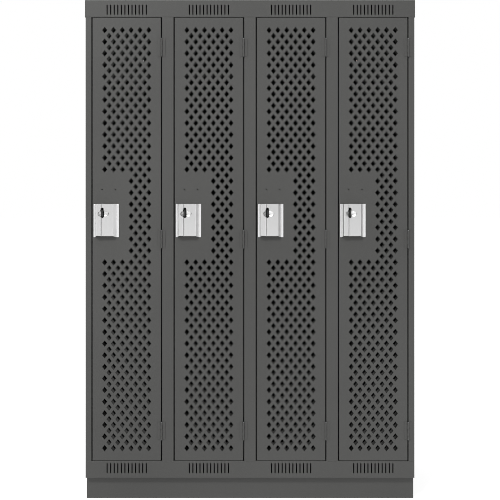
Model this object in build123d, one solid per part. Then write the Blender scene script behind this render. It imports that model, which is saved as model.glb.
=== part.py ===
from build123d import *
import os

# Bank of four single-tier ventilated lockers. Millimetres, +Z up, the doors face -Y.
# The origin is the centre of the footprint, on the floor.

# Overall size
COUNT = 4
PITCH = 304.8
BODY_HEIGHT = 1772.0
BODY_DEPTH = 457.2
PLINTH_HEIGHT = 82.5
PLINTH_SETBACK = 22.0
PLINTH_BACK_SETBACK = 20.0
EYE_PROUD = 22.0

WIDTH = COUNT * PITCH
HEIGHT = BODY_HEIGHT + PLINTH_HEIGHT
SIDE = WIDTH / 2
FRONT = -(BODY_DEPTH - EYE_PROUD) / 2
BACK = FRONT + BODY_DEPTH
CENTRES = [(index - (COUNT - 1) / 2) * PITCH for index in range(COUNT)]
SEAMS = [(index - COUNT / 2) * PITCH for index in range(1, COUNT)]

# Sheet metal
FRAME_T = 1.5
SHEET_T = 1.2
BEND = 1.75
FLANGE = 18.0

# Front frame
RAIL_FACE = 63.0
MULLION_FACE = 43.2
RETURN_DEPTH = 31.0
STOP_LIP = 9.0
RAIL_LIP_HALF = 120.5
RAIL_FLANGE = 30.0
HEADER_OVERHANG = 2.5
LID_FLANGE = 20.0
OPEN_LOW = PLINTH_HEIGHT + RAIL_FACE
OPEN_HIGH = HEIGHT - RAIL_FACE
OPEN_HALF = (PITCH - MULLION_FACE) / 2
LID_UNDER = HEIGHT - SHEET_T
FLOOR_UNDER = PLINTH_HEIGHT + FRAME_T
PLINTH_FLANGE = 25.0
FLOOR_TOP = FLOOR_UNDER + SHEET_T

# Ventilation slots in the rails
SLOT_COUNT = 12
SLOT_PITCH = 13.2
SLOT_WIDTH = 4.2
SLOT_HEIGHT = 37.0
HEADER_SLOT_Z = HEIGHT - 35.6
SILL_SLOT_Z = OPEN_LOW - 26.5

# Doors: a folded outer pan with a perforated sheet riveted to its rear lips
SIDE_GAP = 3.8
END_GAP = 1.5
DOOR_HALF = OPEN_HALF - SIDE_GAP
DOOR_LOW = OPEN_LOW + END_GAP
DOOR_HIGH = OPEN_HIGH - END_GAP
DOOR_MID = (DOOR_LOW + DOOR_HIGH) / 2
PAN_DEPTH = 27.0
PAN_LIP = 10.0
PAN_CORNER = 3.0
PAN_EDGE = 2.0
INNER_T = 1.0
INNER_MARGIN = 1.0

# Diamond perforations
HOLE_WIDTH = 18.9
HOLE_HEIGHT = 23.6
INNER_HOLE_SCALE = 0.9
HOLE_PITCH_X = 32.7
HOLE_PITCH_Z = 21.53
ROWS = 73
WIDE_ROW = 6
BLANK_ROWS = range(25, 40)
BLANK_COLUMNS = 3

# Latch side: distances are from the middle of the gap beside the door
LATCH_X = -(OPEN_HALF - SIDE_GAP / 2)
PLATE_HOLES = (37.6, 87.0)
PLATE_HOLE_Z = HEIGHT - 702.0
PLATE_HOLE_R = 2.2

# Handle
HANDLE_T = 1.5
HANDLE_LOW = HEIGHT - 878.6
HANDLE_HIGH = HEIGHT - 755.5
HANDLE_CUT = 5.5
HANDLE_PROUD = 18.0
HANDLE_STEP = 2.0
HANDLE_GROOVE = 4.5
HANDLE_X = (6.4, 12.6, 18.8, 33.5, 36.6, 39.7, 80.0, 92.0, 100.0)
SLOT_X = 41.0
HANDLE_SLOT_Z = HEIGHT - 788.0
HANDLE_SLOT = (38.0, 10.5)
HANDLE_SLOT_CUT = 12.0
DISH_X = 45.4
DISH_Z = HEIGHT - 792.0
DISH = (21.0, 8.0, 12.0)

# Lift latch: the trigger carries the padlock eye and is fixed to the lock bar
EYE_T = 4.0
EYE_HIGH = HEIGHT - 778.0
EYE_LOW = HEIGHT - 801.5
EYE_MID = (EYE_HIGH + EYE_LOW) / 2
EYE_HOLE_R = 4.5
EYE_HOLE_PROUD = 14.5
EYE_CORNER = 3.0
TAB_RIGHT = 72.0
TAB_PROUD = (2.0, 6.5)
BAR_X = (15.0, 33.0)
BAR_T = 3.0
BAR_Y = FRONT + 17.5
BAR_Z = (250.0, 1700.0)
BAR_WINDOW_X = (19.0, 29.0)
BAR_WINDOW_Z = (-17.5, 8.6)
FACE_SLOT = (38.0, 44.0)
FACE_SLOT_Z = (EYE_LOW - 7.0, EYE_HIGH + 9.5)
GUIDE_Z = (430.0, 1180.0, 1530.0)
GUIDE_HEIGHT = 22.0
GUIDE_GAP = 0.4

# Strikes on the frame
STRIKE_Z = (300.0, 960.0, 1650.0)
STRIKE_BASE_T = 2.5
STRIKE_HALF = 12.0
STRIKE_ARM = (22.5, 25.5)
STRIKE_ARM_HALF = 8.0
STRIKE_NOSE_Y = FRONT + 12.0
STRIKE_NOTCH_Y = (FRONT + 17.0, FRONT + 21.0)
STRIKE_NOTCH_DEPTH = 6.0
SHEET_WINDOW_X = (17.0, 31.0)

# Hinges
HINGE_X = OPEN_HALF - SIDE_GAP / 2
HINGE_Z = (DOOR_MID - 710.5, DOOR_MID, DOOR_MID + 710.5)
HINGE_LENGTH = 64.0
KNUCKLES = 5
KNUCKLE_GAP = 0.4
KNUCKLE_R = 3.2
KNUCKLE_BORE_R = 1.56
PIN_R = 1.5
PIN_HEAD = (2.6, 1.2)
HINGE_AXIS_PROUD = 3.4
LEAF_NEAR = 3.8
LEAF_FAR = 14.2
LEAF_T = 1.5

# Rivets and bumpers
RIVET_R = 1.6
RIVET_HOLE_R = 1.65
RIVET_HEAD = (3.0, 0.8)
RIVET_X = DOOR_HALF - FRAME_T - PAN_LIP / 2
RIVET_Z = [DOOR_MID + (step - 2.5) * 300.0 for step in range(6)]
RIVET_END_X = 60.0
BUMPER_X = -(OPEN_HALF - STOP_LIP / 2)
BUMPER_Z = (DOOR_MID - 600.0, DOOR_MID + 600.0)
BUMPER_R = 3.4
BUMPER_STEM_R = 1.5
BUMPER_HOLE_R = 1.55
BUMPER_BUTTON_R = 3.0

# Shelf and coat hooks
SHELF_TOP = 1585.5
SHELF_FLANGE = 16.0
SHELF_FRONT = FRONT + 42.0
SHELF_BACK = BACK - 2 * SHEET_T - 0.2
SHELF_RIVET_Y = (FRONT + 100.0, BACK - 60.0)
SHELF_RIVET_R = 2.0
SHELF_HOLE_R = 2.05
SHELF_RIVET_HEAD = (3.8, 1.2)
HOOK_PLATE = (24.0, 40.0, 2.0)
HOOK_ROD_R = 2.4
HOOK_DROP = 38.0
HOOK_REACH = 22.0

# Wall anchor holes in the back panel
ANCHOR_X = 457.2
ANCHOR_Z = (300.0, 1700.0)
ANCHOR_R = 4.5


def box(x0, x1, y0, y1, z0, z1):
    """Block between two corners."""
    centre = Pos((x0 + x1) / 2, (y0 + y1) / 2, (z0 + z1) / 2)
    return centre * Box(x1 - x0, y1 - y0, z1 - z0)


def rod_x(x0, x1, y, z, radius):
    """Round bar along X."""
    return Pos((x0 + x1) / 2, y, z) * Rot(0, 90, 0) * Cylinder(radius, x1 - x0)


def rod_y(x, y0, y1, z, radius):
    """Round bar along Y."""
    return Pos(x, (y0 + y1) / 2, z) * Rot(90, 0, 0) * Cylinder(radius, y1 - y0)


def upright_strip(points, z0, z1):
    """Folded strip: its bends are seen from above, and it runs from z0 to z1."""
    profile = trace(FilletPolyline(*points, radius=BEND), FRAME_T)
    return extrude(Pos(0, 0, z0) * profile, z1 - z0, dir=(0, 0, 1))


def level_strip(points, half_length):
    """Folded strip: its bends are seen from the side, and it runs along X."""
    profile = Plane.YZ * trace(FilletPolyline(*points, radius=BEND), FRAME_T)
    return extrude(profile, half_length, both=True)


def slot_prism(x, y, z, height, width, depth):
    """Round-ended upright slot cutter through a front face at y."""
    outline = Plane.XZ * SlotOverall(height, width, rotation=90)
    return Pos(x, y, z) * extrude(outline, depth, both=True)


def diamond_centres():
    """Centres of the diamond holes, measured from the door's own middle."""
    centres = []
    for row in range(ROWS):
        count = WIDE_ROW - row % 2
        z = ((ROWS - 1) / 2 - row) * HOLE_PITCH_Z
        first = BLANK_COLUMNS if row in BLANK_ROWS else 0
        for column in range(first, count):
            centres.append(((column - (count - 1) / 2) * HOLE_PITCH_X, z))
    return centres


def diamond_prisms(y, depth, size=1.0):
    """Cutters for the diamond holes of one door skin."""
    half_w = size * HOLE_WIDTH / 2
    half_h = size * HOLE_HEIGHT / 2
    corners = [(half_w, 0), (0, half_h), (-half_w, 0), (0, -half_h)]
    outline = Plane.XZ * Polygon(*corners, align=None)
    prism = extrude(outline, depth, both=True)
    return [Pos(x, y, DOOR_MID + z) * prism for x, z in diamond_centres()]


def vent_slots(z):
    """Cutters for the row of slots above or below every door."""
    cutters = []
    for centre in CENTRES:
        for index in range(SLOT_COUNT):
            x = centre + (index - (SLOT_COUNT - 1) / 2) * SLOT_PITCH
            cutters.append(slot_prism(x, FRONT, z, SLOT_HEIGHT, SLOT_WIDTH, 2 * FRAME_T))
    return cutters


def rail_lips(z0, z1):
    """Door stops along a rail, one stretch per locker."""
    y0 = FRONT + RETURN_DEPTH - FRAME_T
    y1 = FRONT + RETURN_DEPTH
    spans = [(x - RAIL_LIP_HALF, x + RAIL_LIP_HALF) for x in CENTRES]
    return [box(x0, x1, y0, y1, z0, z1) for x0, x1 in spans]


def header_rail():
    """Top rail: a channel with closed ends that stand just outside the side panels."""
    half = FRAME_T / 2
    top = LID_UNDER - half
    bottom = OPEN_HIGH + half
    points = [
        (FRONT + RAIL_FLANGE, top),
        (FRONT + half, top),
        (FRONT + half, bottom),
        (FRONT + RETURN_DEPTH, bottom),
    ]
    inside = SIDE - SHEET_T
    outside = SIDE + HEADER_OVERHANG
    rail = level_strip(points, inside)
    rail += rail_lips(OPEN_HIGH - STOP_LIP, OPEN_HIGH + half)
    for sign in (-1, 1):
        x0, x1 = sorted((sign * inside, sign * outside))
        rail += box(x0, x1, FRONT, FRONT + FRAME_T, OPEN_HIGH, LID_UNDER)
        x0, x1 = sorted((sign * (outside - FRAME_T), sign * outside))
        rail += box(x0, x1, FRONT, FRONT + RETURN_DEPTH, OPEN_HIGH, LID_UNDER)
    return rail - vent_slots(HEADER_SLOT_Z)


def sill_rail():
    """Bottom rail under the doors."""
    half = FRAME_T / 2
    top = OPEN_LOW - half
    bottom = PLINTH_HEIGHT + half
    points = [
        (FRONT + RAIL_FLANGE, bottom),
        (FRONT + half, bottom),
        (FRONT + half, top),
        (FRONT + RETURN_DEPTH, top),
    ]
    inside = SIDE - SHEET_T
    rail = level_strip(points, inside)
    rail += rail_lips(OPEN_LOW - half, OPEN_LOW + STOP_LIP)
    for sign in (-1, 1):
        x0, x1 = sorted((sign * inside, sign * SIDE))
        rail += box(x0, x1, FRONT, FRONT + FRAME_T, PLINTH_HEIGHT, OPEN_LOW)
    return rail - vent_slots(SILL_SLOT_Z)


def bumper_holes(opening_centre):
    """Holes for the bumper stems in the stop lip on an opening's latch side."""
    x = opening_centre + BUMPER_X
    y = FRONT + RETURN_DEPTH
    return [rod_y(x, y - 2 * FRAME_T, y + FRAME_T, z, BUMPER_HOLE_R) for z in BUMPER_Z]


def mullion(seam):
    """Hat-section post between two doors."""
    half = FRAME_T / 2
    near = MULLION_FACE / 2 - half
    lip = MULLION_FACE / 2 + STOP_LIP
    front = FRONT + half
    rear = FRONT + RETURN_DEPTH - half
    points = [(-lip, rear), (-near, rear), (-near, front), (near, front), (near, rear), (lip, rear)]
    post = Pos(seam, 0, 0) * upright_strip(points, OPEN_LOW, OPEN_HIGH)
    return post - bumper_holes(seam + PITCH / 2)


def end_stile(sign):
    """Post at one end of the bank."""
    half = FRAME_T / 2
    near = SIDE - MULLION_FACE / 2 + half
    lip = SIDE - MULLION_FACE / 2 - STOP_LIP
    front = FRONT + half
    rear = FRONT + RETURN_DEPTH - half
    points = [(sign * x, y) for x, y in ((SIDE, front), (near, front), (near, rear), (lip, rear))]
    post = upright_strip(points, OPEN_LOW, OPEN_HIGH)
    return post - bumper_holes(CENTRES[0]) if sign < 0 else post


def shelf_rivet_holes(x):
    """Cutters for the shelf rivets in the wall at x."""
    reach = 2 * SHEET_T
    z = SHELF_TOP - SHELF_FLANGE / 2
    return [rod_x(x - reach, x + reach, y, z, SHELF_HOLE_R) for y in SHELF_RIVET_Y]


def side_panel(sign):
    """Outer side sheet with a flange folded in at the front and the back."""
    outer = sign * SIDE
    inner = sign * (SIDE - SHEET_T)
    fold = sign * (SIDE - FLANGE)
    x0, x1 = sorted((outer, inner))
    f0, f1 = sorted((inner, fold))
    front = FRONT + FRAME_T
    rear = BACK - SHEET_T
    panel = box(x0, x1, front, rear, PLINTH_HEIGHT, LID_UNDER)
    panel += box(f0, f1, front, front + SHEET_T, OPEN_LOW, OPEN_HIGH)
    panel += box(f0, f1, rear - SHEET_T, rear, FLOOR_TOP, LID_UNDER)
    return panel - shelf_rivet_holes(inner)


def partition(seam):
    """Wall between two lockers with a flange behind its mullion and at the back."""
    half = SHEET_T / 2
    front = FRONT + FRAME_T
    rear = BACK - SHEET_T
    wall = box(seam - half, seam + half, FRONT + RETURN_DEPTH, rear, FLOOR_TOP, LID_UNDER)
    wall += box(seam - half, seam + half, front, FRONT + RETURN_DEPTH, OPEN_LOW + 0.5, OPEN_HIGH - 0.5)
    wall += box(seam + half, seam + FLANGE, front, front + SHEET_T, OPEN_LOW + 0.5, OPEN_HIGH - 0.5)
    wall += box(seam + half, seam + FLANGE, rear - SHEET_T, rear, FLOOR_TOP, LID_UNDER)
    return wall - shelf_rivet_holes(seam)


def top_panel():
    """Lid over the whole bank with a flange folded down at each side."""
    outside = SIDE + HEADER_OVERHANG
    lid = box(-outside, outside, FRONT, BACK, LID_UNDER, HEIGHT)
    for sign in (-1, 1):
        x0, x1 = sorted((sign * (outside - SHEET_T), sign * outside))
        lid += box(x0, x1, FRONT + RETURN_DEPTH + 0.5, BACK, LID_UNDER - LID_FLANGE, LID_UNDER)
    return lid


def back_panel():
    """Back sheet with four wall anchor holes."""
    panel = box(-SIDE, SIDE, BACK - SHEET_T, BACK, PLINTH_HEIGHT, LID_UNDER)
    for x in (-ANCHOR_X, ANCHOR_X):
        for z in ANCHOR_Z:
            panel -= rod_y(x, BACK - 3 * SHEET_T, BACK + SHEET_T, z, ANCHOR_R)
    return panel


def floor_panel():
    """Floor sheet with its sides folded up along the side panels."""
    inside = SIDE - SHEET_T
    pan = box(-inside, inside, FRONT + 2 * FRAME_T, BACK - SHEET_T, FLOOR_UNDER, FLOOR_TOP)
    for sign in (-1, 1):
        x0, x1 = sorted((sign * (inside - SHEET_T), sign * inside))
        pan += box(x0, x1, FRONT + RAIL_FLANGE, BACK - RAIL_FLANGE, FLOOR_TOP, FLOOR_TOP + FLANGE)
    return pan


def shelf(index):
    """Hat shelf: a tray turned over, riveted between two walls."""
    left = CENTRES[index] - PITCH / 2 + (SHEET_T if index == 0 else SHEET_T / 2)
    right = CENTRES[index] + PITCH / 2 - (SHEET_T if index == COUNT - 1 else SHEET_T / 2)
    low = SHELF_TOP - SHELF_FLANGE
    tray = box(left, right, SHELF_FRONT, SHELF_BACK, low, SHELF_TOP)
    hollow = box(
        left + SHEET_T,
        right - SHEET_T,
        SHELF_FRONT + SHEET_T,
        SHELF_BACK - SHEET_T,
        low - SHEET_T,
        SHELF_TOP - SHEET_T,
    )
    return tray - hollow - shelf_rivet_holes(left) - shelf_rivet_holes(right)


def shelf_rivets():
    """Rivets that hold the shelves to the walls."""
    rivets = []
    head_r, head_t = SHELF_RIVET_HEAD
    z = SHELF_TOP - SHELF_FLANGE / 2
    spans = [(seam - 1.5 * SHEET_T, seam + 1.5 * SHEET_T) for seam in SEAMS]
    spans.append((-SIDE, -SIDE + 2 * SHEET_T))
    spans.append((SIDE - 2 * SHEET_T, SIDE))
    for x0, x1 in spans:
        for y in SHELF_RIVET_Y:
            rivet = rod_x(x0, x1, y, z, SHELF_RIVET_R)
            rivet += rod_x(x0 - head_t, x0, y, z, head_r)
            rivet += rod_x(x1, x1 + head_t, y, z, head_r)
            rivets.append(rivet.solid())
    return Compound(rivets)


def ceiling_hook():
    """Double coat hook under a shelf: a plate, a stem and two upturned arms."""
    width, length, thick = HOOK_PLATE
    under = SHELF_TOP - SHEET_T
    middle = (SHELF_FRONT + SHELF_BACK) / 2
    hook = box(-width / 2, width / 2, middle - length / 2, middle + length / 2, under - thick, under)
    low = under - HOOK_DROP
    hook += Pos(0, middle, (under + low) / 2) * Cylinder(HOOK_ROD_R, HOOK_DROP)
    for sign in (-1, 1):
        tip = (sign * HOOK_REACH, middle, low + HOOK_REACH / 2)
        sag = (sign * HOOK_REACH / 2, middle, low - HOOK_REACH / 8)
        arm = ThreePointArc((0, middle, low), sag, tip)
        hook += sweep(Plane(arm @ 0, z_dir=arm % 0) * Circle(HOOK_ROD_R), path=arm)
        hook += Pos(*tip) * Sphere(HOOK_ROD_R)
    return hook + Pos(0, middle, low) * Sphere(HOOK_ROD_R)


def plinth_rail(face, inward):
    """Long channel of the plinth: its web is at the face, its flanges point inward."""
    back_of_web = face + inward * FRAME_T
    toe = face + inward * PLINTH_FLANGE
    y0, y1 = sorted((face, back_of_web))
    f0, f1 = sorted((back_of_web, toe))
    inside = SIDE - FRAME_T
    rail = box(-SIDE, SIDE, y0, y1, 0, PLINTH_HEIGHT)
    rail += box(-inside, inside, f0, f1, 0, FRAME_T)
    rail += box(-inside, inside, f0, f1, PLINTH_HEIGHT - FRAME_T, PLINTH_HEIGHT)
    return rail


def plinth_end(sign):
    """Short channel that closes one end of the plinth."""
    face = sign * SIDE
    back_of_web = face - sign * FRAME_T
    toe = face - sign * PLINTH_FLANGE
    x0, x1 = sorted((face, back_of_web))
    f0, f1 = sorted((back_of_web, toe))
    front = FRONT + PLINTH_SETBACK
    rear = BACK - PLINTH_BACK_SETBACK
    f_front = front + PLINTH_FLANGE
    f_rear = rear - PLINTH_FLANGE
    end = box(x0, x1, front + FRAME_T, rear - FRAME_T, 0, PLINTH_HEIGHT)
    end += box(f0, f1, f_front, f_rear, 0, FRAME_T)
    end += box(f0, f1, f_front, f_rear, PLINTH_HEIGHT - FRAME_T, PLINTH_HEIGHT)
    return end


def strike(z):
    """Notched hook behind the stop lip that the lock bar drops onto."""
    lip_rear = FRONT + RETURN_DEPTH
    plate = box(-0.5, STRIKE_ARM[1], lip_rear, lip_rear + STRIKE_BASE_T, -STRIKE_HALF, STRIKE_HALF)
    outline = [
        (lip_rear, -STRIKE_ARM_HALF),
        (lip_rear, STRIKE_ARM_HALF),
        (STRIKE_NOTCH_Y[1], STRIKE_ARM_HALF),
        (STRIKE_NOTCH_Y[1], STRIKE_ARM_HALF - STRIKE_NOTCH_DEPTH),
        (STRIKE_NOTCH_Y[0], STRIKE_ARM_HALF - STRIKE_NOTCH_DEPTH),
        (STRIKE_NOTCH_Y[0], STRIKE_ARM_HALF),
        (STRIKE_NOSE_Y, STRIKE_NOTCH_DEPTH - STRIKE_ARM_HALF),
        (STRIKE_NOSE_Y, -STRIKE_ARM_HALF),
    ]
    profile = Plane.YZ.offset(STRIKE_ARM[0]) * Polygon(*outline, align=None)
    arm = extrude(profile, STRIKE_ARM[1] - STRIKE_ARM[0], dir=(1, 0, 0))
    return Pos(LATCH_X, 0, z) * (plate + arm)


def bumper(z):
    """Rubber bumper pressed through the stop lip."""
    front = FRONT + PAN_DEPTH + INNER_T + 0.1
    lip_front = FRONT + RETURN_DEPTH - FRAME_T
    lip_rear = FRONT + RETURN_DEPTH
    part = rod_y(BUMPER_X, front, lip_front, z, BUMPER_R)
    part += rod_y(BUMPER_X, lip_front, lip_rear, z, BUMPER_STEM_R)
    part += rod_y(BUMPER_X, lip_rear, lip_rear + SHEET_T, z, BUMPER_BUTTON_R)
    return part


def hinge_leaf(sign, slots, z):
    """One leaf of a hinge with its knuckles: sign is the side that the leaf lies on."""
    length = (HINGE_LENGTH - (KNUCKLES - 1) * KNUCKLE_GAP) / KNUCKLES
    near = HINGE_AXIS_PROUD - LEAF_T
    x0, x1 = sorted((sign * LEAF_NEAR, sign * LEAF_FAR))
    t0, t1 = sorted((0, sign * LEAF_NEAR))
    leaf = box(x0, x1, near, HINGE_AXIS_PROUD, -HINGE_LENGTH / 2, HINGE_LENGTH / 2)
    for slot in slots:
        middle = (slot - (KNUCKLES - 1) / 2) * (length + KNUCKLE_GAP)
        low = middle - length / 2
        leaf += Pos(0, 0, middle) * Cylinder(KNUCKLE_R, length)
        leaf += box(t0, t1, near, KNUCKLE_R, low, low + length)
    leaf -= Cylinder(KNUCKLE_BORE_R, HINGE_LENGTH + 2 * KNUCKLE_GAP)
    return Pos(HINGE_X, FRONT - HINGE_AXIS_PROUD, z) * leaf


def hinge_pin(z):
    """Headed hinge pin."""
    head_r, head_t = PIN_HEAD
    pin = Cylinder(PIN_R, HINGE_LENGTH)
    pin += Pos(0, 0, (HINGE_LENGTH + head_t) / 2) * Cylinder(head_r, head_t)
    pin += Pos(0, 0, -(HINGE_LENGTH + head_t) / 2) * Cylinder(head_r, head_t)
    return Pos(HINGE_X, FRONT - HINGE_AXIS_PROUD, z) * pin


def rivet_centres():
    """Where the inner sheet is riveted to the pan's rear lips."""
    centres = [(sign * RIVET_X, z) for sign in (-1, 1) for z in RIVET_Z]
    edge = FRAME_T + PAN_LIP / 2
    for z in (DOOR_LOW + edge, DOOR_HIGH - edge):
        centres.append((-RIVET_END_X, z))
        centres.append((RIVET_END_X, z))
    return centres


def rivet_holes():
    """Cutters for the door rivets."""
    rear = FRONT + PAN_DEPTH
    return [rod_y(x, rear - 2 * FRAME_T, rear + 2 * INNER_T, z, RIVET_HOLE_R) for x, z in rivet_centres()]


def door_rivets():
    """Rivets of one door."""
    head_r, head_t = RIVET_HEAD
    y0 = FRONT + PAN_DEPTH - FRAME_T
    y1 = FRONT + PAN_DEPTH + INNER_T
    rivets = []
    for x, z in rivet_centres():
        rivet = rod_y(x, y0, y1, z, RIVET_R)
        rivet += rod_y(x, y0 - head_t, y0, z, head_r)
        rivet += rod_y(x, y1, y1 + head_t, z, head_r)
        rivets.append(rivet.solid())
    return Compound(rivets)


def door_outer():
    """Perforated outer pan of a door."""
    rear = FRONT + PAN_DEPTH
    pan = box(-DOOR_HALF, DOOR_HALF, FRONT, rear, DOOR_LOW, DOOR_HIGH)
    pan = fillet(pan.edges().filter_by(Axis.Y), PAN_CORNER)
    pan = fillet(pan.faces().sort_by(Axis.Y)[0].edges(), PAN_EDGE)
    wall = DOOR_HALF - FRAME_T
    low = DOOR_LOW + FRAME_T
    high = DOOR_HIGH - FRAME_T
    pan -= box(-wall, wall, FRONT + FRAME_T, rear - FRAME_T, low, high)
    mouth = wall - PAN_LIP
    pan -= box(-mouth, mouth, rear - 2 * FRAME_T, rear + FRAME_T, low + PAN_LIP, high - PAN_LIP)
    cutters = diamond_prisms(FRONT, 2 * FRAME_T) + rivet_holes()
    for distance in PLATE_HOLES:
        cutters.append(rod_y(LATCH_X + distance, FRONT - 1, FRONT + 3, PLATE_HOLE_Z, PLATE_HOLE_R))
    slot_x0 = LATCH_X + FACE_SLOT[0]
    slot_x1 = LATCH_X + FACE_SLOT[1]
    cutters.append(box(slot_x0, slot_x1, FRONT - 1, FRONT + 3, FACE_SLOT_Z[0], FACE_SLOT_Z[1]))
    return pan - cutters


def door_inner():
    """Perforated inner sheet of a door, with a window at each strike."""
    half = DOOR_HALF - INNER_MARGIN
    y0 = FRONT + PAN_DEPTH
    y1 = y0 + INNER_T
    sheet = box(-half, half, y0, y1, DOOR_LOW + INNER_MARGIN, DOOR_HIGH - INNER_MARGIN)
    cutters = diamond_prisms(y0, 2 * INNER_T, INNER_HOLE_SCALE) + rivet_holes()
    x0 = LATCH_X + SHEET_WINDOW_X[0]
    x1 = LATCH_X + SHEET_WINDOW_X[1]
    for z in STRIKE_Z:
        cutters.append(box(x0, x1, y0 - 1, y1 + 1, z - STRIKE_HALF, z + STRIKE_HALF))
    return sheet - cutters


def handle_points(inset):
    """Corners of the handle's section, inset from its outer surface."""
    x0, x1, x2, x3, x4, x5, x6, x7, x8 = [LATCH_X + distance for distance in HANDLE_X]
    foot = FRONT - HANDLE_T + inset
    land = FRONT - HANDLE_PROUD + inset
    face = FRONT - HANDLE_PROUD + HANDLE_STEP + inset
    groove = FRONT - HANDLE_PROUD + HANDLE_GROOVE + inset
    left = [(x0, foot), (x1, foot), (x2, land), (x3, land), (x4, groove)]
    return left + [(x5, face), (x6, face), (x7, foot), (x8, foot)]


def dish(growth):
    """Ellipsoid that forms the hollow around the eye slot."""
    radii = tuple(radius + growth for radius in DISH)
    centre = Pos(LATCH_X + DISH_X, FRONT - HANDLE_PROUD + HANDLE_STEP / 2, DISH_Z)
    return centre * scale(Sphere(1), by=radii)


def handle():
    """Pressed handle: a hat section closed at the top, dished around the eye slot."""
    height = HANDLE_HIGH - HANDLE_LOW
    section = trace(FilletPolyline(*handle_points(HANDLE_T / 2), radius=BEND), HANDLE_T)
    shell = extrude(Pos(0, 0, HANDLE_LOW) * section, height, dir=(0, 0, 1))
    outline = handle_points(0)[1:-1]
    back = [(outline[-1][0], FRONT), (outline[0][0], FRONT)]
    solid_section = make_face(Polyline(*outline, *back, close=True))
    filled = extrude(Pos(0, 0, HANDLE_LOW) * solid_section, height, dir=(0, 0, 1))
    cap = filled & box(-DOOR_HALF, DOOR_HALF, FRONT - 50, FRONT, HANDLE_HIGH - HANDLE_T, HANDLE_HIGH)
    wall = (dish(HANDLE_T) - dish(0)) & filled
    shell = shell - dish(HANDLE_T) + wall + cap
    toe = [(FRONT - HANDLE_T, -10.0), (FRONT - HANDLE_T, 0.0), (FRONT - 30, HANDLE_CUT * 1.7), (FRONT - 30, -10.0)]
    slant = extrude(Plane.YZ * Polygon(*toe, align=None), DOOR_HALF, both=True)
    shell -= Pos(0, 0, HANDLE_LOW) * slant
    height, width = HANDLE_SLOT
    return shell - slot_prism(LATCH_X + SLOT_X, FRONT - HANDLE_PROUD, HANDLE_SLOT_Z, height, width, HANDLE_SLOT_CUT)


def lock_bar():
    """Flat bar inside the door with a window at each strike."""
    x0, x1 = [LATCH_X + distance for distance in BAR_X]
    w0, w1 = [LATCH_X + distance for distance in BAR_WINDOW_X]
    low, high = BAR_WINDOW_Z
    bar = box(x0, x1, BAR_Y, BAR_Y + BAR_T, BAR_Z[0], BAR_Z[1])
    return bar - [box(w0, w1, BAR_Y - 1, BAR_Y + BAR_T + 1, z + low, z + high) for z in STRIKE_Z]


def trigger():
    """Padlock eye, finger tab and the foot that is welded to the lock bar."""
    left = LATCH_X + SLOT_X - EYE_T / 2
    right = LATCH_X + SLOT_X + EYE_T / 2
    foot_front = BAR_Y + BAR_T
    foot_rear = foot_front + BAR_T
    eye = box(left, right, FRONT - EYE_PROUD, foot_rear, EYE_LOW, EYE_HIGH)
    tip = eye.faces().sort_by(Axis.Y)[0]
    eye = fillet(tip.edges().filter_by(Axis.X), EYE_CORNER)
    eye -= rod_x(left - 1, right + 1, FRONT - EYE_HOLE_PROUD, EYE_MID, EYE_HOLE_R)
    foot = box(LATCH_X + BAR_X[0], left, foot_front, foot_rear, EYE_LOW, EYE_HIGH)
    near, far = TAB_PROUD
    tab = box(right, LATCH_X + TAB_RIGHT, FRONT - far, FRONT - near, EYE_LOW, EYE_LOW + BAR_T)
    return eye + foot + tab


def bar_guide(z):
    """Sleeve that keeps the lock bar against the door, with a foot on the pan."""
    x0 = LATCH_X + BAR_X[0] - GUIDE_GAP
    x1 = LATCH_X + BAR_X[1] + GUIDE_GAP
    y0 = BAR_Y - GUIDE_GAP
    y1 = BAR_Y + BAR_T + GUIDE_GAP
    half = GUIDE_HEIGHT / 2
    skin = FRONT + FRAME_T
    sleeve = box(x0 - SHEET_T, x1 + SHEET_T, y0 - SHEET_T, y1 + SHEET_T, -half, half)
    sleeve -= box(x0, x1, y0, y1, -half - 1, half + 1)
    sleeve += box(x0 - SHEET_T, x0, skin, y0, -half, half)
    sleeve += box(x0 - 10.0, x0, skin, skin + SHEET_T, -half, half)
    return Pos(0, 0, z) * sleeve


def in_every_locker(pieces):
    """Group with a copy of the pieces in every locker."""
    return Compound([Pos(x, 0, 0) * piece.solid() for x in CENTRES for piece in pieces])


def save(name, shape):
    """Write one node."""
    export_step(shape, f"parts/{name}.step", write_pcurves=False)


def save_carcass():
    """Nodes of the fixed cabinet."""
    save("top_panel", top_panel())
    save("header_rail", header_rail())
    save("sill_rail", sill_rail())
    save("left_stile", end_stile(-1))
    save("right_stile", end_stile(1))
    save("left_side_panel", side_panel(-1))
    save("right_side_panel", side_panel(1))
    for index, seam in enumerate(SEAMS, start=1):
        save(f"mullion_{index}", mullion(seam))
        save(f"partition_{index}", partition(seam))
    save("back_panel", back_panel())
    save("floor_panel", floor_panel())
    for index in range(COUNT):
        save(f"shelf_{index + 1}", shelf(index))
    front = plinth_rail(FRONT + PLINTH_SETBACK, 1)
    back = plinth_rail(BACK - PLINTH_BACK_SETBACK, -1)
    save("plinth_rails", Compound([front.solid(), back.solid()]))
    save("plinth_ends", Compound([plinth_end(-1).solid(), plinth_end(1).solid()]))


def save_fittings():
    """Small fixed pieces, one group of separate solids for each kind."""
    save("shelf_rivets", shelf_rivets())
    save("ceiling_hooks", in_every_locker([ceiling_hook()]))
    save("latch_strikes", in_every_locker([strike(z) for z in STRIKE_Z]))
    save("door_bumpers", in_every_locker([bumper(z) for z in BUMPER_Z]))
    save("hinge_frame_leaves", in_every_locker([hinge_leaf(1, (0, 2, 4), z) for z in HINGE_Z]))
    save("hinge_pins", in_every_locker([hinge_pin(z) for z in HINGE_Z]))


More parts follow.
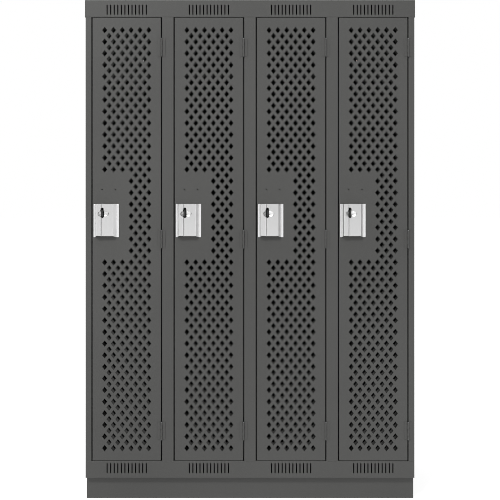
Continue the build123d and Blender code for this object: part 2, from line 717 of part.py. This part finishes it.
def save_doors():
    """Nodes of the four doors and their lift latches."""
    leaves = Compound([hinge_leaf(-1, (1, 3), z).solid() for z in HINGE_Z])
    guides = Compound([bar_guide(z).solid() for z in GUIDE_Z])
    pieces = {
        "outer": door_outer(),
        "inner": door_inner(),
        "hinge_leaves": leaves,
        "handle": handle(),
        "rivets": door_rivets(),
        "bar_guides": guides,
        "lock_bar": lock_bar(),
        "trigger": trigger(),
    }
    for index, x in enumerate(CENTRES, start=1):
        for piece, shape in pieces.items():
            save(f"door_{index}_{piece}", Pos(x, 0, 0) * shape)


os.makedirs("parts", exist_ok=True)
save_carcass()
save_fittings()
save_doors()
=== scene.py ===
import math

import bpy
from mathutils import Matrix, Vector


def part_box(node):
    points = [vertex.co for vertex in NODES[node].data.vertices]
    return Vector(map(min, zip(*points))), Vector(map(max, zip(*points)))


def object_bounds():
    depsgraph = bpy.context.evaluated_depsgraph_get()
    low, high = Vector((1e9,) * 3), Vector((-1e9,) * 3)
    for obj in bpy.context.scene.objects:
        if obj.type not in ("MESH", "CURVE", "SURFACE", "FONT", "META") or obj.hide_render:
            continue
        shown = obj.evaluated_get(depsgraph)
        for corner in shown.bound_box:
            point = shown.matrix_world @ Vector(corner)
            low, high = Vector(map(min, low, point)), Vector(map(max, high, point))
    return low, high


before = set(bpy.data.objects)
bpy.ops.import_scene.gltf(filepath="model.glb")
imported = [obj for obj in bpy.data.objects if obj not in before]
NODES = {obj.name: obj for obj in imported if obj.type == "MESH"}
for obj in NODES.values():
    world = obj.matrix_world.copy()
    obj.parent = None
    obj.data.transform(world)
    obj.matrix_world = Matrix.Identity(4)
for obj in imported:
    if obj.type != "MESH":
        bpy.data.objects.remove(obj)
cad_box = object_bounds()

# The face of the doors, in metres
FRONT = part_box("door_1_outer")[0].y

# Camera: a level front view whose picture height spans this much of the front plane
CAMERA_DISTANCE = 3.0
CAMERA_HEIGHT = 1.15
VIEW_HEIGHT = 1.854
TOP_MARGIN = 0.0006
SENSOR = 36.0

# Key light
KEY_PLACE = (-3.0, -6.0, 7.0)
KEY_TARGET = (0.0, -0.2, 0.9)
KEY_SIZE = 1.4
KEY_WATTS = 480.0

# White surround: its level behind the camera, and where along Y it reaches full strength
SURROUND_LOW = 0.33
SURROUND_FULL_Y = -0.3

# Pale floor
FLOOR_SIZE = 60.0
FLOOR_TONES = ((0.30, 0.30, 0.30), (0.34, 0.34, 0.34))
FLOOR_GLOW = 0.80

# Handle: depths in front of the door between which its front face gets painted shade, a darker
# tone
FRONT_SHADE_DEPTHS = (0.004, 0.013)
# Darker tone painted on the handle's front face as shade
FRONT_SHADE_TONE = (0.74, 0.74, 0.74)
# Painted shade in the handle's groove and inner corners: its tone, and how far the occlusion looks
CREASE_SHADE_TONE = (0.20, 0.20, 0.20)
CREASE_SHADE_REACH = 0.006


# ---------------------------------------------------------------- node helpers

def new_material(name):
    """Empty node material with its output and a principled shader."""
    mat = bpy.data.materials.new(name)
    mat.use_nodes = True
    tree = mat.node_tree
    tree.nodes.clear()
    out = tree.nodes.new("ShaderNodeOutputMaterial")
    shader = tree.nodes.new("ShaderNodeBsdfPrincipled")
    tree.links.new(shader.outputs["BSDF"], out.inputs["Surface"])
    return mat, tree, shader


def add(tree, kind, **values):
    """Adds a node and sets its input sockets by name."""
    node = tree.nodes.new(kind)
    for key, value in values.items():
        node.inputs[key.replace("_", " ")].default_value = value
    return node


def object_coords(tree):
    """Object coordinates."""
    return tree.nodes.new("ShaderNodeTexCoord").outputs["Object"]


def along_y(tree, vector):
    """Y component of a vector socket."""
    split = tree.nodes.new("ShaderNodeSeparateXYZ")
    tree.links.new(vector, split.inputs["Vector"])
    return split.outputs["Y"]


def noise(tree, coords, scale, detail=3.0):
    """Noise texture on the given coordinates."""
    node = add(tree, "ShaderNodeTexNoise", Scale=scale, Detail=detail, Roughness=0.55)
    tree.links.new(coords, node.inputs["Vector"])
    return node.outputs["Fac"]


def ramp(tree, value, low, high, to_low, to_high):
    """Remaps a value from one range to another, clamped."""
    node = tree.nodes.new("ShaderNodeMapRange")
    tree.links.new(value, node.inputs["Value"])
    node.inputs["From Min"].default_value = low
    node.inputs["From Max"].default_value = high
    node.inputs["To Min"].default_value = to_low
    node.inputs["To Max"].default_value = to_high
    return node.outputs["Result"]


def multiply(tree, a, b):
    """Product of two sockets."""
    node = tree.nodes.new("ShaderNodeMath")
    node.operation = "MULTIPLY"
    tree.links.new(a, node.inputs[0])
    tree.links.new(b, node.inputs[1])
    return node.outputs["Value"]


def mix_colour(tree, factor, a, b):
    """Mixes two colours by a factor socket; a and b are colours or sockets."""
    node = tree.nodes.new("ShaderNodeMix")
    node.data_type = "RGBA"
    tree.links.new(factor, node.inputs[0])
    for socket, value in ((node.inputs[6], a), (node.inputs[7], b)):
        if isinstance(value, tuple):
            socket.default_value = (*value, 1.0)
        else:
            tree.links.new(value, socket)
    return node.outputs[2]


def rounded_normal(tree, radius):
    """Normal of the surface with its edges rounded."""
    bevel = add(tree, "ShaderNodeBevel", Radius=radius)
    bevel.samples = 4
    return bevel.outputs["Normal"]


def edge_mask(tree, rounded):
    """1 near an edge, 0 on a flat face, from how far rounding turns the normal."""
    geometry = tree.nodes.new("ShaderNodeNewGeometry")
    dot = tree.nodes.new("ShaderNodeVectorMath")
    dot.operation = "DOT_PRODUCT"
    tree.links.new(rounded, dot.inputs[0])
    tree.links.new(geometry.outputs["Normal"], dot.inputs[1])
    return ramp(tree, dot.outputs["Value"], 0.98, 0.80, 0.0, 1.0)


def bumped(tree, shader, height, strength, distance, normal=None):
    """Feeds the shader a normal that a height socket disturbs."""
    bump = add(tree, "ShaderNodeBump", Strength=strength, Distance=distance)
    tree.links.new(height, bump.inputs["Height"])
    if normal:
        tree.links.new(normal, bump.inputs["Normal"])
    tree.links.new(bump.outputs["Normal"], shader.inputs["Normal"])


# ---------------------------------------------------------------- materials

def powder_coat(name, colour, light):
    """Powder coat: slow colour drift, fine orange peel, edges lighter as rubbed wear and painted
    highlight.
    """
    mat, tree, shader = new_material(name)
    coords = object_coords(tree)
    drift = ramp(tree, noise(tree, coords, 1.6, 2.0), 0.35, 0.65, 0.0, 1.0)
    speck = noise(tree, coords, 420.0, 2.0)
    darker = tuple(c * 0.94 for c in colour)
    lighter = tuple(c * 1.06 for c in colour)
    base = mix_colour(tree, drift, darker, lighter)
    base = mix_colour(tree, ramp(tree, speck, 0.45, 0.75, 0.0, 0.35), base, light)
    rounded = rounded_normal(tree, 0.0005)
    # Edges lightened: part rubbed wear, part painted highlight
    wear_and_highlight_strength = ramp(tree, noise(tree, coords, 60.0), 0.40, 0.65, 0.066, 0.22)
    edge_wear_and_highlight = multiply(tree, edge_mask(tree, rounded), wear_and_highlight_strength)
    base = mix_colour(tree, edge_wear_and_highlight, base, light)
    tree.links.new(base, shader.inputs["Base Color"])
    tree.links.new(ramp(tree, speck, 0.3, 0.7, 0.45, 0.56), shader.inputs["Roughness"])
    bumped(tree, shader, noise(tree, coords, 900.0, 2.0), 0.35, 0.00004, rounded)
    shader.inputs["Specular IOR Level"].default_value = 0.35
    return mat


def handle_painted_shade(tree, coords, base):
    """Painted shade: a darker front face, and painted shade darkening the groove and the inner
    corners.
    """
    occlusion = add(tree, "ShaderNodeAmbientOcclusion", Distance=CREASE_SHADE_REACH)
    occlusion.samples = 8
    crease_shade = ramp(tree, occlusion.outputs["AO"], 0.90, 0.55, 0.0, 1.0)
    near, far = FRONT_SHADE_DEPTHS
    depth = ramp(tree, along_y(tree, coords), FRONT - near, FRONT - far, 0.0, 1.0)
    normal = tree.nodes.new("ShaderNodeNewGeometry").outputs["True Normal"]
    facing = ramp(tree, along_y(tree, normal), -0.85, -0.95, 0.0, 1.0)
    # Painted shade: faces turned to the front, between these depths, take the darker tone
    base = mix_colour(tree, multiply(tree, depth, facing), base, FRONT_SHADE_TONE)
    # Painted shade: darkens the groove and inner corners where the occlusion finds nearby surfaces
    return mix_colour(tree, crease_shade, base, CREASE_SHADE_TONE)


def satin_metal(name, colour, rough, stretch, handle=False):
    """Bare or plated metal with a grain along the axis whose stretch is smallest."""
    mat, tree, shader = new_material(name)
    coords = object_coords(tree)
    mapping = tree.nodes.new("ShaderNodeMapping")
    mapping.inputs["Scale"].default_value = stretch
    tree.links.new(coords, mapping.inputs["Vector"])
    lines = noise(tree, mapping.outputs["Vector"], 1.0, 4.0)
    cloud = noise(tree, coords, 35.0)
    darker = tuple(c * 0.92 for c in colour)
    base = mix_colour(tree, ramp(tree, lines, 0.35, 0.65, 0.0, 1.0), darker, colour)
    base = mix_colour(tree, ramp(tree, cloud, 0.40, 0.80, 0.0, 0.35), base, darker)
    # Handle only: painted shade on its front face, in its groove and in its inner corners
    if handle:
        base = handle_painted_shade(tree, coords, base)
    tree.links.new(base, shader.inputs["Base Color"])
    shader.inputs["Metallic"].default_value = 1.0
    roughness = ramp(tree, lines, 0.3, 0.7, rough - 0.05, rough + 0.07)
    tree.links.new(roughness, shader.inputs["Roughness"])
    bumped(tree, shader, lines, 0.4, 0.00002, rounded_normal(tree, 0.0006))
    return mat


def rubber(name):
    """Matt black rubber."""
    mat, tree, shader = new_material(name)
    coords = object_coords(tree)
    tone = noise(tree, coords, 300.0)
    base = mix_colour(tree, tone, (0.018, 0.018, 0.018), (0.035, 0.035, 0.034))
    tree.links.new(base, shader.inputs["Base Color"])
    bumped(tree, shader, noise(tree, coords, 900.0), 0.5, 0.0001)
    shader.inputs["Roughness"].default_value = 0.75
    return mat


PAINT = powder_coat("body_paint", (0.058, 0.058, 0.0558), (0.091, 0.091, 0.088))
# Darker copy of the body paint for the parts inside the lockers: painted shade for the dimmer
# light in there
SHADED_INSIDE = powder_coat("body_paint_shaded_inside", (0.046, 0.046, 0.0445), (0.07, 0.07, 0.068))
EYE = powder_coat("dark_steel", (0.025, 0.025, 0.025), (0.05, 0.05, 0.05))
HANDLE = satin_metal("handle_metal", (0.99, 0.99, 0.99), 0.34, (2600.0, 2600.0, 14.0), handle=True)
ZINC = satin_metal("zinc_steel", (0.42, 0.43, 0.44), 0.42, (500.0, 500.0, 500.0))
BUMPER = rubber("bumper_rubber")

ZINC_ENDINGS = ("_rivets", "lock_bar", "bar_guides")
ZINC_NODES = ("hinge_pins", "ceiling_hooks")
INSIDE_STARTS = ("partition", "shelf", "back_panel", "floor_panel", "latch_strikes")


def material_for(name):
    """Material of a node, by its name."""
    if name.endswith("_handle"):
        return HANDLE
    if name.endswith("_trigger"):
        return EYE
    if name == "door_bumpers":
        return BUMPER
    if name.endswith(ZINC_ENDINGS) or name in ZINC_NODES:
        return ZINC
    if name.startswith(INSIDE_STARTS):
        return SHADED_INSIDE
    return PAINT


for name, obj in NODES.items():
    obj.data.materials.clear()
    obj.data.materials.append(material_for(name))


# ---------------------------------------------------------------- floor, light and camera

def floor():
    """Large pale floor."""
    bpy.ops.mesh.primitive_plane_add(size=FLOOR_SIZE, location=(0, 0, 0))
    plane = bpy.context.object
    plane.name = "floor"
    mat, tree, shader = new_material("floor_white")
    base = mix_colour(tree, noise(tree, object_coords(tree), 0.8), *FLOOR_TONES)
    tree.links.new(base, shader.inputs["Base Color"])
    shader.inputs["Roughness"].default_value = 0.9
    shader.inputs["Specular IOR Level"].default_value = 0.0
    shader.inputs["Emission Color"].default_value = (1.0, 1.0, 1.0, 1.0)
    shader.inputs["Emission Strength"].default_value = FLOOR_GLOW
    plane.data.materials.append(mat)


def key_light():
    """Square softbox, high on the left, that faces the doors."""
    data = bpy.data.lights.new("key", "AREA")
    data.shape = "SQUARE"
    data.size = KEY_SIZE
    data.energy = KEY_WATTS
    light = bpy.data.objects.new("key", data)
    bpy.context.scene.collection.objects.link(light)
    light.location = KEY_PLACE
    aim = Vector(KEY_TARGET) - Vector(KEY_PLACE)
    light.rotation_euler = aim.to_track_quat("-Z", "Y").to_euler()


def studio_world():
    """White surround, darker behind the camera."""
    world = bpy.data.worlds.new("studio")
    bpy.context.scene.world = world
    world.use_nodes = True
    tree = world.node_tree
    tree.nodes.clear()
    out = tree.nodes.new("ShaderNodeOutputWorld")
    background = add(tree, "ShaderNodeBackground", Color=(1.0, 1.0, 1.0, 1.0))
    direction = tree.nodes.new("ShaderNodeTexCoord").outputs["Generated"]
    level = ramp(tree, along_y(tree, direction), -1.0, SURROUND_FULL_Y, SURROUND_LOW, 1.0)
    tree.links.new(level, background.inputs["Strength"])
    tree.links.new(background.outputs["Background"], out.inputs["Surface"])


def camera():
    """Level front view; the shift puts the top of the cabinet at the top of the picture."""
    top = cad_box[1][2] + TOP_MARGIN
    data = bpy.data.cameras.new("camera")
    data.sensor_width = SENSOR
    data.lens = SENSOR * CAMERA_DISTANCE / VIEW_HEIGHT
    data.shift_y = (top - VIEW_HEIGHT / 2 - CAMERA_HEIGHT) / VIEW_HEIGHT
    data.clip_end = 100.0
    cam = bpy.data.objects.new("camera", data)
    bpy.context.scene.collection.objects.link(cam)
    cam.location = (0.0, FRONT - CAMERA_DISTANCE, CAMERA_HEIGHT)
    cam.rotation_euler = (math.radians(90), 0, 0)
    bpy.context.scene.camera = cam


floor()
studio_world()
key_light()
camera()
scene = bpy.context.scene
scene.view_settings.view_transform = "Standard"
scene.view_settings.look = "None"
scene.view_settings.exposure = 0.0
scene.cycles.filter_width = 0.9
